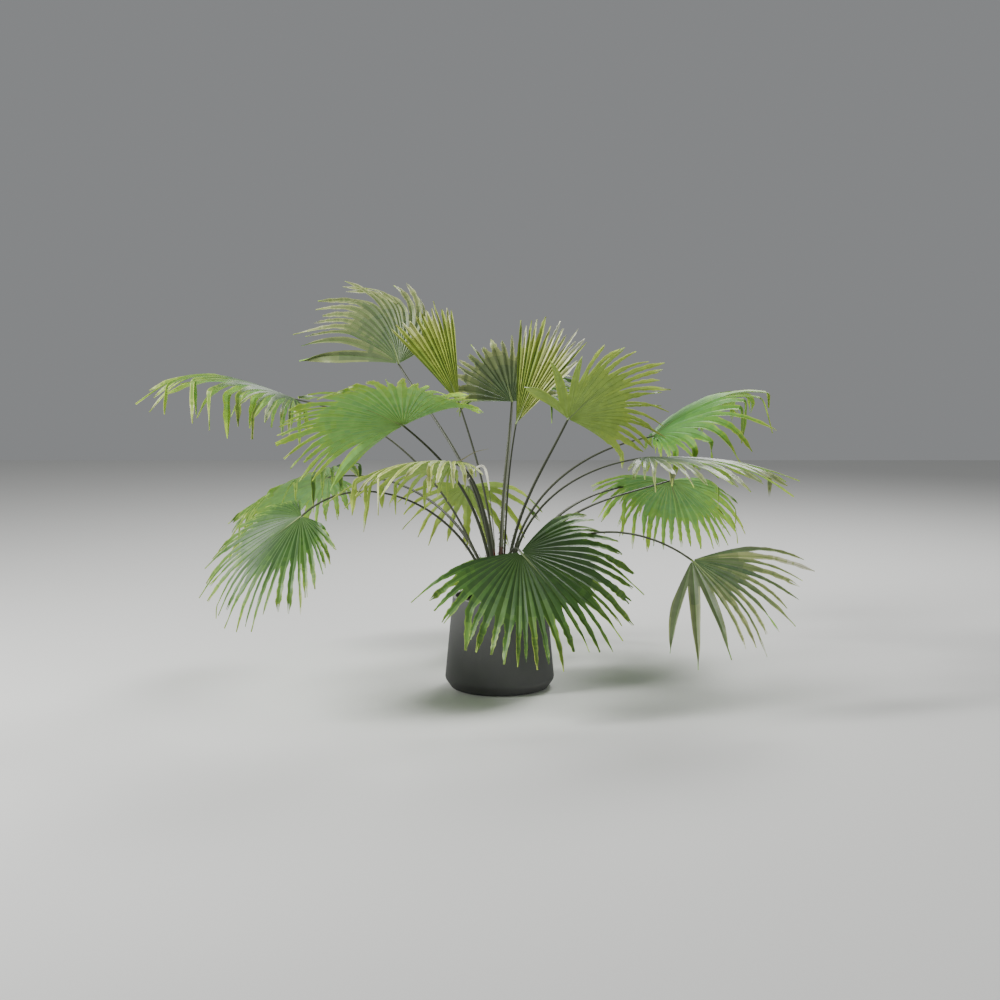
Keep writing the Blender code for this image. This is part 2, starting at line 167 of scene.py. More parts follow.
# Torn sheaths round the foot of the petioles
LITTER_SEED = 77
STRAPS = 16
STRAP_STATIONS = 24
STRAP_LOWEST = 0.262
STRAP_LOW_SCATTER = 0.03
STRAP_LENGTHS = (0.06, 0.10)
STRAP_WIDTHS = (0.008, 0.014)
STRAP_LEANS = (0.012, 0.030)
STRAP_WIDEST_AT = 0.25
STRAP_BEARING_SCATTER = 0.3
STRAP_TURN = 30
STRAP_CLEARANCE = 0.001
STRAP_SINK = 0.003
STRAP_STAND_OFF = 0.006
STRAP_BENDS = (0.4, 0.8)
STRAP_BEND_LEAN = 0.6
STRAP_HALF_THICKNESS = 0.0004
LITTER_FOOT_WIDTH = 0.45
LITTER_NARROWING = 0.85
LITTER_RAGGED = (0.85, 1.15)

# Blades
WALK_STEPS = 60
BEND_START = 0.46
BEND_END = 0.82
LENGTH_SCATTER = 0.18
DROOP_SCATTER = 0.4
FUSED_START = 0.02
FUSED_END = 0.62
FUSED_PAST_NOTCH = 0.1
FUSED_STATIONS = 17
FREE_STATIONS = 18
KNEE_REACH = 0.05
NO_KNEE = 2  # a place past the tip, for a rib without a kink
HALF_THICKNESS = 0.0004
RIB_HALF_WIDTH = 0.0009
RIB_DROP = 0.0006
GAP_REACH = 0.15
TIP_TAPER = 0.22
TIP_LEFT = 0.08
TORN_OFF = 0.07
PARTED_TIPS = 0.6
MARGIN_SHADE = 1.4
SPRAY = 0.06
BROAD_GAIN = 3.0
BROAD_NOTCH = 0.7
# Painted light: broad lobes are lifted to lighter shades because they face away from the lamps
BROAD_PAINTED_LIGHT = 0.15
BROAD_SPRAY = 0.15
BROAD_STREAKS = 0.5
BROAD_RISE = 0.35
RAGGED = 0.14
RAGGED_RATES = (14, 34)
SWAY_WAVES = (0.8, 1.8, 3.4)
SWAY_ONSET = 0.1
TEAR_SEED = 500
FAN_SHARES = (0.6, 1.4)
LENGTH_CURVE = 0.7
TORN_WIDTHS = (0.3, 0.6)
KNEE_TURNS = (1.0, 3.0)
TWIST_SCATTER = 0.05
NOTCH_SCATTER = 0.035
NOTCH_FIRST = 0.12
NOTCH_LAST_GAP = 0.04
NARROWINGS = (0.15, 0.4)
OPENING = 0.25
TIP_CURVE = 0.7
BROAD_CURVE = 1.6
PLEAT_LEFT = 0.2
RIB_SHRINKING = 0.6
RIB_WIDTH_LIMIT = 0.15
PARTED_STATIONS = (3, 8)
TIP_GAPE = 0.22
MARGIN_OUT = 0.68
MARGIN_IN = 0.32
MARGIN_LIFT = 0.12
SHADE_START = 0.04
SHADE_CURVE = 1.6
BROAD_SHADE_CURVE = 3
UPPER_SLOPE = 0.62
UNDER_SLOPE = 0.55
BLADE_SHARP_ANGLE = 22


@dataclass
class Frond:
    """One leaf: its place and shape as in the solids, its finer segments, and then its looks."""
    name: str
    hub: tuple                # where the blade's ribs meet
    launch: float             # how steeply the petiole leaves the stem, in degrees
    arrive: float             # how steeply it reaches the hub
    rank: int                 # 0 for the youngest leaf, which leaves the stem highest
    heading: float            # of the middle rib, in degrees
    pitch: float
    roll: float
    radius: float             # length of the middle rib
    spread: float             # half the fan's angle
    segments: int
    sag: float = 0.5          # how far weight bends the ribs all along
    hang: float = 0.4         # and how far more between BEND_START and BEND_END
    trim: tuple = (0.15, 0.15)  # how much shorter the outermost segments are, left and right
    drift: tuple = (0.0, 0.0, 0.0)  # pull on the ribs besides their weight, in shares of it
    knees: float = 0.15       # share of the segments whose tips are kinked and hang straight down
    notch: float = 0.46       # where the segments come apart
    upper: float = 0.0        # added to the shade of the upper face, from dark to straw; on fronds that lie in shade, partly painted light
    under: float = 0.0        # the same for the under face, partly painted light as well
    looks: tuple = ("upper_green", "under_green_painted_backlight")
    stray: float = 0.10       # how unevenly the free segments lie
    broad: int = 0            # how many segments are wide, at the left end or, below 0, at the right
    streaks: float = 0.045    # how far the segments differ in shade
    pleat: float = 0.10       # depth of the folds as a share of a segment's width
    knee_at: tuple = (0.60, 0.86)  # how far along their segments the kinks are
    blunt: float = 0.2        # share of the segments whose tips are torn off short


FRONDS = (
    Frond("front_low", (0.055, -0.28, 0.420), 74, -10, 17, -46, -33, 22, 0.41, 116, 31, sag=0.55,
          hang=0.25, trim=(0.22, 0.22), knees=0.04, notch=0.52, blunt=0.5, streaks=0.06, stray=0.15),
    Frond("right_low", (0.500, -0.32, 0.405), 62, -30, 15, -42, -30, 40, 0.34, 68, 15, sag=0.5, hang=0.3,
          trim=(0.0, 0.1), knees=0.0, notch=0.42, looks=("upper_grey_painted_sheen", "under_green_painted_backlight"), broad=-3,
          upper=0.18, streaks=0.11),
    Frond("right_back", (0.500, 0.36, 0.535), 58, 10, 12, 65, -42, 0, 0.32, 114, 28, sag=0.7, hang=0.4,
          trim=(0.15, 0.15), knees=0.3, notch=0.5),
    Frond("right_level", (0.395, -0.18, 0.660), 86, 8, 10, -12, 3, -4, 0.46, 108, 26, sag=0.35, hang=0.25,
          trim=(0.72, 0.72), knees=0.3, notch=0.40, looks=("upper_grey_painted_sheen", "under_green_painted_backlight"),
          knee_at=(0.76, 0.92)),
    Frond("right_high", (0.430, 0.10, 0.690), 88, 8, 8, 4, 41, 5, 0.46, 96, 28, sag=0.9, hang=0.5,
          trim=(0.75, 0.95), drift=(0.0, 0.3, 0.0), knees=0.7, knee_at=(0.62, 0.82), notch=0.5,
          looks=("upper_bright_painted_light", "under_green_painted_backlight")),
    Frond("front_high", (0.180, -0.22, 0.765), 78, 55, 5, -14, 45, -36, 0.32, 84, 22, sag=0.4, hang=0.3,
          trim=(0.0, 0.1), knees=0.03, notch=0.52, looks=("upper_green", "under_olive_painted_backlight"), broad=-3),
    Frond("young_right", (0.045, 0.00, 0.735), 87, 80, 0, 0, 67, 90, 0.34, 22, 14, sag=0.05, hang=0.1,
          trim=(0.1, 0.1), knees=0.0, notch=0.64, looks=("straw", "straw"), upper=0.15, under=0.15,
          streaks=0.2, pleat=0.25, blunt=0.4),
    Frond("back_high", (0.035, 0.20, 0.780), 84, 75, 2, 120, 62, 0, 0.23, 86, 18, sag=0.1, hang=0.1,
          trim=(0.15, 0.15), knees=0.0, notch=0.62, looks=("upper_grey_painted_sheen", "under_green_painted_backlight"), upper=0.15),
    Frond("young_left", (-0.110, -0.02, 0.790), 85, 72, 1, 180, 68, -90, 0.31, 19, 12, sag=0.1, hang=0.1,
          trim=(0.1, 0.1), knees=0.0, notch=0.72, looks=("straw", "straw"), streaks=0.13, pleat=0.25,
          blunt=0.5, stray=0.2),
    Frond("left_high", (-0.295, 0.34, 0.880), 82, 45, 4, 122, 72, -30, 0.37, 74, 20, sag=0.35, hang=0.3,
          trim=(0.18, 0.55), drift=(-3.5, 0.0, 0.0), upper=0.18, knees=0.0, notch=0.48,
          looks=("upper_grey_painted_sheen", "under_green_painted_backlight"), broad=2),
    Frond("left_upper", (-0.250, -0.30, 0.755), 78, 32, 7, -144, 26, 27, 0.375, 92, 29, sag=0.4, hang=0.3,
          trim=(0.1, 0.1), knees=0.05, notch=0.57, broad=-1, stray=0.07),
    Frond("left_far", (-0.565, 0.02, 0.800), 70, 10, 9, 180, 24, 8, 0.48, 112, 30, sag=0.55, hang=0.6,
          trim=(0.68, 0.68), knees=0.4, notch=0.42, upper=0.15),
    Frond("left_low_back", (-0.505, 0.36, 0.545), 70, -10, 13, 188, -17, 22, 0.42, 124, 30, sag=0.5,
          hang=0.4, trim=(0.3, 0.5), knees=0.2, notch=0.48),
    Frond("left_low_front", (-0.515, -0.32, 0.520), 76, -38, 16, 198, -33, -20, 0.40, 114, 34, sag=0.5,
          hang=0.3, trim=(0.68, 0.68), knees=0.08, notch=0.44),
    Frond("left_near", (-0.125, -0.34, 0.660), 74, 5, 11, 195, 5, 15, 0.36, 118, 28, sag=0.6, hang=0.4,
          trim=(0.65, 0.65), knees=0.4, notch=0.42, looks=("straw", "under_olive_painted_backlight"), upper=0.1),
    Frond("back_middle", (-0.095, 0.44, 0.510), 66, 0, 14, 92, -40, 0, 0.30, 112, 12, sag=0.6, hang=0.3,
          trim=(0.15, 0.15), knees=0.1, notch=0.30, looks=("upper_green", "under_olive_painted_backlight"), under=0.12),
    Frond("back_low", (0.060, 0.44, 0.290), 50, -25, 19, 85, -35, 0, 0.30, 106, 26, sag=0.5, hang=0.3),
    Frond("back_right", (0.500, 0.58, 0.510), 60, 0, 18, 45, -15, 0, 0.28, 106, 26, sag=0.8, hang=0.4),
    Frond("back_upper", (0.040, 0.50, 0.790), 76, 45, 6, 65, 30, 0, 0.26, 100, 26, sag=0.6, hang=0.4),
)

# Leaf shades from the hub outwards, as screen colours out of 255
LEAF_LOOKS = {
    "upper_green": (
        (54, 82, 42), (58, 88, 42), (68, 100, 44), (84, 116, 48),
        (108, 136, 54), (136, 158, 68), (168, 178, 98), (202, 202, 154),
    ),
    # Grey-green with painted sheen: lighter, greyer shades stand in for light glancing off the waxy upper
    # face
    "upper_grey_painted_sheen": (
        (78, 97, 71), (88, 104, 75), (98, 112, 78), (112, 124, 82),
        (130, 140, 90), (152, 160, 104), (180, 184, 136), (214, 212, 184),
    ),
    # Bright green with painted light: shades that make an upper face look lit from above
    "upper_bright_painted_light": (
        (82, 134, 62), (88, 140, 60), (98, 148, 58), (114, 158, 56),
        (138, 170, 58), (160, 182, 70), (184, 194, 104), (210, 212, 158),
    ),
    # The under faces: partly the leaf's paler underside, partly painted light shining through the leaf
    # from behind
    "under_green_painted_backlight": (
        (120, 172, 100), (126, 177, 92), (134, 181, 80), (147, 187, 68),
        (164, 194, 66), (178, 197, 78), (194, 203, 112), (216, 216, 162),
    ),
    # Olive under face, likewise brightened with painted light shining through the leaf
    "under_olive_painted_backlight": (
        (140, 168, 84), (147, 175, 82), (155, 182, 80), (165, 190, 80),
        (176, 196, 84), (188, 202, 100), (204, 212, 128), (220, 220, 168),
    ),
    "straw": (
        (122, 142, 58), (134, 152, 62), (146, 162, 70), (162, 174, 84),
        (180, 188, 108), (198, 204, 140), (214, 216, 174), (232, 232, 208),
    ),
    "rib": ((82, 110, 56), (142, 170, 84)),
}
LEAF_GLOSS = {"upper_green": (0.45, 0.0), "upper_grey_painted_sheen": (0.42, 0.03)}
LEAF_MATT = (0.55, 0.0)


def linear(colour):
    """A screen colour out of 255 as the linear colour that shaders take."""
    return tuple((c / 255) ** 2.2 for c in colour)


def unit(vectors):
    return vectors / np.linalg.norm(vectors, axis=-1, keepdims=True)


def heading_vector(heading, pitch):
    turn = math.radians(heading)
    rise = math.radians(pitch)
    return np.array((math.cos(turn) * math.cos(rise), math.sin(turn) * math.cos(rise), math.sin(rise)))


# Camera, floor and light

def make_camera():
    data = bpy.data.cameras.new("camera")
    data.lens = LENS_PX / FRAME_PX * SENSOR_MM
    data.sensor_width = SENSOR_MM
    camera = bpy.data.objects.new("camera", data)
    bpy.context.scene.collection.objects.link(camera)
    pitch = math.radians(CAMERA_PITCH)
    forward = np.array((0.0, math.cos(pitch), -math.sin(pitch)))
    camera.location = np.array(CAMERA_TARGET) - forward * CAMERA_DISTANCE
    camera.rotation_euler = (math.pi / 2 - pitch, 0.0, 0.0)
    bpy.context.scene.camera = camera


def make_light(name, place, target, power, size):
    data = bpy.data.lights.new(name, 'AREA')
    data.energy = power
    data.shape = 'DISK'
    data.size = size
    light = bpy.data.objects.new(name, data)
    bpy.context.scene.collection.objects.link(light)
    place = np.array(place)
    look = unit(np.array(target) - place)
    light.location = place
    light.rotation_euler = (math.acos(-look[2]), 0.0, math.atan2(look[1], look[0]) - math.pi / 2)


def make_studio():
    world = bpy.data.worlds.new("studio")
    world.use_nodes = True
    background = world.node_tree.nodes["Background"]
    background.inputs["Color"].default_value = SKY_COLOUR
    background.inputs["Strength"].default_value = SKY_STRENGTH
    bpy.context.scene.world = world
    for light in LIGHTS:
        make_light(*light)
    half = FLOOR_HALF
    corners = [(-half, -half, 0), (half, -half, 0), (half, half, 0), (-half, half, 0)]
    mesh = bpy.data.meshes.new("floor")
    mesh.from_pydata(corners, [], [(0, 1, 2, 3)])
    floor = bpy.data.objects.new("floor", mesh)
    bpy.context.scene.collection.objects.link(floor)
    mesh.materials.append(plain_finish("floor_pale", FLOOR_COLOUR, FLOOR_ROUGHNESS))


# Materials

def plain_finish(name, colour, roughness):
    finish = bpy.data.materials.new(name)
    finish.use_nodes = True
    shader = finish.node_tree.nodes["Principled BSDF"]
    shader.inputs["Base Color"].default_value = (*colour, 1.0)
    shader.inputs["Roughness"].default_value = roughness
    finish.diffuse_color = (*colour, 1.0)
    return finish


def mottled_finish(name, colour, spread, scale, roughness, bump, bump_scale, detail=4.0):
    """A base colour that noise lightens and darkens, over a fine bump."""
    finish = plain_finish(name, colour, roughness)
    tree = finish.node_tree
    shader = tree.nodes["Principled BSDF"]
    place = tree.nodes.new("ShaderNodeTexCoord")
    noise = tree.nodes.new("ShaderNodeTexNoise")
    noise.inputs["Scale"].default_value = scale
    noise.inputs["Detail"].default_value = detail
    tree.links.new(place.outputs["Object"], noise.inputs["Vector"])
    ramp = tree.nodes.new("ShaderNodeValToRGB")
    ramp.color_ramp.elements[0].position = MOTTLE_FROM
    ramp.color_ramp.elements[1].position = MOTTLE_TO
    ramp.color_ramp.elements[0].color = (*[c * (1 - spread) for c in colour], 1.0)
    ramp.color_ramp.elements[1].color = (*[min(c * (1 + spread), 1.0) for c in colour], 1.0)
    tree.links.new(noise.outputs["Fac"], ramp.inputs["Fac"])
    tree.links.new(ramp.outputs["Color"], shader.inputs["Base Color"])
    grain = tree.nodes.new("ShaderNodeTexNoise")
    grain.inputs["Scale"].default_value = bump_scale
    grain.inputs["Detail"].default_value = detail
    tree.links.new(place.outputs["Object"], grain.inputs["Vector"])
    relief = tree.nodes.new("ShaderNodeBump")
    relief.inputs["Strength"].default_value = bump
    relief.inputs["Distance"].default_value = BUMP_HEIGHT
    tree.links.new(grain.outputs["Fac"], relief.inputs["Height"])
    tree.links.new(relief.outputs["Normal"], shader.inputs["Normal"])
    return finish


def leaf_finish(name, colour, roughness, sheen):
    finish = mottled_finish(name, linear(colour), LEAF_MOTTLE, LEAF_MOTTLE_SCALE, roughness, LEAF_BUMP,
                            LEAF_BUMP_SCALE)
    shader = finish.node_tree.nodes["Principled BSDF"]
    shader.inputs["Specular IOR Level"].default_value = LEAF_SPECULAR
    shader.inputs["Sheen Weight"].default_value = sheen
    shader.inputs["Sheen Roughness"].default_value = LEAF_SHEEN_ROUGHNESS
    return finish


def leaf_finishes():
    """The materials of each look of the leaves, one for each of its shades."""
    finishes = {}
    for look, shades in LEAF_LOOKS.items():
        roughness, sheen = LEAF_GLOSS.get(look, LEAF_MATT)
        finishes[look] = [leaf_finish(f"leaf_{look}_{k}", shade, roughness, sheen)
                          for k, shade in enumerate(shades)]
    return finishes


def stalk_finishes():
    """The petioles' materials in the order that their faces number them: the stalk, a painted highlight
    along its upper ridges that the spines wear too, the costa and the sheath.
    """
    return [mottled_finish("stalk_green", linear((58, 62, 46)), 0.15, 12.0, 0.6, 0.15, 300.0),
            # painted highlight: a lighter green for the petiole's upper ridges, where light catches them;
            # the spines wear it too
            mottled_finish("stalk_highlight_and_spines", linear((76, 80, 58)), 0.15, 12.0, 0.6, 0.15, 300.0),
            mottled_finish("costa_pale", linear((120, 138, 84)), 0.15, 40.0, 0.5, 0.4, 300.0),
            mottled_finish("sheath_brown", linear((68, 50, 40)), 0.30, 90.0, 0.85, 0.8, 400.0)]


# Meshes

def add_piece(name, mesh, finishes, nodes=()):
    for finish in finishes:
        mesh.materials.append(finish)
    piece = bpy.data.objects.new(name, mesh)
    bpy.context.scene.collection.objects.link(piece)
    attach(piece, "root")
    if nodes:
        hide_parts(*nodes)


def quad_mesh(name, points, quads, shades=None, sharp=40):
    """A mesh of four-sided faces from arrays, with only the points that they use."""
    used, quads = np.unique(quads, return_inverse=True)
    quads = quads.reshape(-1, 4)
    points = points[used]
    mesh = bpy.data.meshes.new(name)
    mesh.vertices.add(len(points))
    mesh.vertices.foreach_set("co", points.astype(np.float32).ravel())
    mesh.loops.add(quads.size)
    mesh.loops.foreach_set("vertex_index", quads.astype(np.int32).ravel())
    mesh.polygons.add(len(quads))
    mesh.polygons.foreach_set("loop_start", np.arange(len(quads), dtype=np.int32) * 4)
    if shades is not None:
        mesh.polygons.foreach_set("material_index", shades.astype(np.int32).ravel())
    mesh.update(calc_edges=True)
    mesh.shade_smooth()
    mesh.set_sharp_from_angle(angle=math.radians(sharp))
    return mesh


def tube_quads(stations, sides, start=0):
    """The faces between rings of points, each ring joined round."""
    row = np.arange(stations - 1)[:, None] * sides + start
    here = np.arange(sides)[None, :]
    after = (here + 1) % sides
    corners = [row + here, row + after, row + sides + after, row + sides + here]
    return np.stack(corners, axis=-1).reshape(-1, 4)


# Pot, soil and stem

def turned_points(profile, sides):
    turn = np.linspace(0, 2 * math.pi, sides, endpoint=False)
    profile = np.array(profile)
    ring = np.stack([np.cos(turn), np.sin(turn), np.zeros(sides)], axis=1)
    return (profile[:, 0, None, None] * ring + profile[:, 1, None, None] * UP).reshape(-1, 3)


def rounded(corners, radius, steps):
    """An outline with each inner corner rounded off; radius is how far from the corner it starts."""
    corners = [np.array(c, dtype=float) for c in corners]
    outline = [corners[0]]
    for before, here, after in zip(corners, corners[1:], corners[2:]):
        reach = min(radius, np.linalg.norm(before - here) * ROUNDING_LIMIT,
                    np.linalg.norm(after - here) * ROUNDING_LIMIT)
        start = here + unit(before - here) * reach
        end = here + unit(after - here) * reach
        for k in range(steps + 1):
            t = k / steps
            outline.append((1 - t) ** 2 * start + 2 * t * (1 - t) * here + t * t * end)
    outline.append(corners[-1])
    return outline


def make_pot():
    inner_rim = POT_RIM_RADIUS - POT_WALL
    inside_foot = SOIL_TOP - POT_INSIDE_DEPTH
    corners = [(AXIS_GAP, 0.0), (POT_FOOT_RADIUS, 0.0), (POT_BELLY_RADIUS, POT_BELLY_HEIGHT),
               (POT_RIM_RADIUS, POT_HEIGHT), (inner_rim, POT_HEIGHT),
               (inner_rim + POT_INSIDE_WIDENING, inside_foot), (AXIS_GAP, inside_foot)]
    foot = rounded(corners[:4], POT_FOOT_ROUNDING, 8)[:-1]
    top = rounded([foot[-1]] + corners[3:6], POT_RIM_ROUNDING, 5)[1:]
    profile = foot + top + [corners[6]]
    points = turned_points(profile, POT_SIDES)
    lip = np.array([corner[1] > POT_HEIGHT - POT_LIP for corner in profile])
    shades = np.repeat(lip[:-1] & lip[1:], POT_SIDES).astype(int)
    mesh = quad_mesh("pot_shell", points, tube_quads(len(profile), POT_SIDES), shades, sharp=60)
    finishes = [mottled_finish("pot_cement", linear((82, 82, 82)), 0.10, 7.0, 0.8, 0.5, 160.0, 8.0),
                mottled_finish("pot_lip", linear((128, 128, 124)), 0.1, 30.0, 0.7, 0.5, 160.0, 8.0)]
    add_piece("pot_shell", mesh, finishes, ("pot",))


def make_soil():
    """A lumpy top of soil, with a wall round it that reaches down inside the pot."""
    chance = np.random.default_rng(SOIL_SEED)
    rim = POT_RIM_RADIUS - POT_WALL - SOIL_SLACK
    radii = np.linspace(SOIL_MIDDLE, rim, SOIL_RINGS)
    turn = np.linspace(0, 2 * math.pi, SOIL_SIDES, endpoint=False)
    x = radii[:, None] * np.cos(turn)
    y = radii[:, None] * np.sin(turn)
    height = np.zeros_like(x)
    for _ in range(SOIL_WAVES):
        wave = chance.uniform(-1, 1, 2) * chance.choice(SOIL_WAVE_RATES)
        size = chance.uniform(*SOIL_WAVE_SIZES)
        height += size * np.sin(wave[0] * x + wave[1] * y + chance.uniform(0, PHASE))
    height = SOIL_TOP - SOIL_SINK + height * SOIL_RELIEF
    points = np.stack([x, y, height], axis=-1).reshape(-1, 3)
    below = points.copy()
    below[:, 2] = SOIL_TOP - SOIL_THICKNESS
    count = len(points)
    quads = tube_quads(SOIL_RINGS, SOIL_SIDES)
    skirt = np.arange(SOIL_SIDES) + (SOIL_RINGS - 1) * SOIL_SIDES
    after = np.roll(skirt, -1)
    wall = np.stack([skirt, skirt + count, after + count, after], axis=-1)
    mesh = quad_mesh("soil_bed", np.concatenate([points, below]), np.concatenate([quads, wall]), sharp=70)
    finish = mottled_finish("soil_dark", (0.030, 0.022, 0.016), 0.5, 90.0, 0.95, 1.0, 300.0, 8.0)
    add_piece("soil_bed", mesh, [finish], ("soil",))


def stem_radius(height):
    low = SOIL_TOP + STEM_FLARE_HEIGHT
    share = (height - low) / (STEM_TOP - low)
    return STEM_FOOT_RADIUS + share * (STEM_TOP_RADIUS - STEM_FOOT_RADIUS)


def make_stem():
    """The stem from its flare to its rounded top, with upright fibres in relief."""
    chance = np.random.default_rng(STEM_SEED)
    heights = np.linspace(SOIL_TOP, STEM_TOP, STEM_STATIONS)
    turn = np.linspace(0, 2 * math.pi, STEM_SIDES, endpoint=False)
    lift = np.clip((heights - SOIL_TOP) / STEM_FLARE_HEIGHT, 0, 1)
    radius = np.where(lift < 1, STEM_FLARE_RADIUS + lift * (STEM_FOOT_RADIUS - STEM_FLARE_RADIUS), 0)
    radius = np.where(lift < 1, radius, stem_radius(heights))
    radius[-len(STEM_CLOSING):] *= STEM_CLOSING
    relief = np.zeros((STEM_STATIONS, STEM_SIDES))
    for _ in range(STEM_WAVES):
        around = chance.integers(*STEM_FIBRES_ROUND) * turn[None, :]
        climb = chance.uniform(-STEM_WAVE_RATE, STEM_WAVE_RATE) * heights[:, None]
        relief += np.sin(around + climb + chance.uniform(0, PHASE))
    reach = radius[:, None] - STEM_SINK + relief * STEM_RELIEF * (radius[:, None] > STEM_RELIEF_FROM)
    level = np.repeat(heights[:, None], STEM_SIDES, 1)
    points = np.stack([reach * np.cos(turn), reach * np.sin(turn), level], axis=-1).reshape(-1, 3)
    mesh = quad_mesh("stem_fibres", points, tube_quads(STEM_STATIONS, STEM_SIDES), sharp=80)
    finish = mottled_finish("stem_brown", linear((92, 62, 44)), 0.4, 120.0, 0.9, 1.0, 500.0, 8.0)
    add_piece("stem_fibres", mesh, [finish], ("stem",))


# Petioles

def petiole_line(frond, stations):
    """The middle line of a petiole, from the stem to the blade's hub."""
    hub = np.array(frond.hub)
    bearing = math.degrees(math.atan2(hub[1], hub[0]))
    height = YOUNGEST_BASE - RANK_DROP * frond.rank
    if frond.rank < TOP_LEAVES:
        base = heading_vector(bearing, 0) * TOP_LEAF_RADIUS + UP * (STEM_TOP + TOP_LEAF_LIFT)
    else:
        stand_off = stem_radius(height) + PETIOLE_BASE_DEPTH * PETIOLE_SEATING
        base = heading_vector(bearing, 0) * stand_off + UP * height
    arrive = heading_vector(bearing, frond.arrive)
    end = hub - arrive * PETIOLE_END_GAP
    reach = np.linalg.norm(end - base)
    launch = heading_vector(bearing, frond.launch)
    p1 = base + launch * reach * LAUNCH_PULL
    p2 = end - arrive * reach * ARRIVE_PULL
    t = np.linspace(0, 1, stations)[:, None]
    s = 1 - t
    return s ** 3 * base + 3 * s * s * t * p1 + 3 * s * t * t * p2 + t ** 3 * end


def line_frames(line):
    """Along, side and raised directions at each point of a line."""
    along = unit(np.gradient(line, axis=0))
    side = unit(np.cross(along, UP))
    return along, side, np.cross(side, along)


# A petiole's section as shares of width and depth: edges either side of a shallow channel, round below
SECTION = ((-0.50, 0.20), (-0.42, 0.36), (-0.22, 0.20), (0.0, 0.14), (0.22, 0.20), (0.42, 0.36),
           (0.50, 0.20), (0.46, -0.10), (0.28, -0.38), (0.0, -0.50), (-0.28, -0.38), (-0.46, -0.10))

# The petioles' materials, in the order that their faces number them; the second is a painted highlight on
# the upper ridges, which the spines wear too
STALK, STALK_HIGHLIGHT_AND_SPINES, COSTA, SHEATH = range(4)


def costa_line(frond):
    """The line of a petiole's last part, which runs on along the blade's middle rib."""
    calm = np.zeros((2, WALK_STEPS, 1))
    middle_rib = walk_ribs(frond, np.zeros(1), np.ones(1), np.ones(1) * NO_KNEE, np.zeros(1), calm)
    shares = np.linspace(COSTA_REACH / COSTA_STATIONS, COSTA_REACH, COSTA_STATIONS)
    return sample(middle_rib, shares[:, None])[:, 0]


def make_spine(root, out, along, raised, shrink, start):
    """Points and faces of one spine; start is the number of its first point."""
    half = SPINE_WIDTH * shrink * 0.5
    tip = root + out * SPINE_LENGTH * shrink - along * SPINE_TIP_BACK
    points = np.array([root + along * half - out * SPINE_SINK, root + raised * half * 0.5,
                       root - along * half - out * SPINE_SINK, root - raised * half * 0.5, tip])
    top = start + 4
    faces = [(start + k, start + (k + 1) % 4, top, top) for k in range(4)]
    return points, np.array(faces)


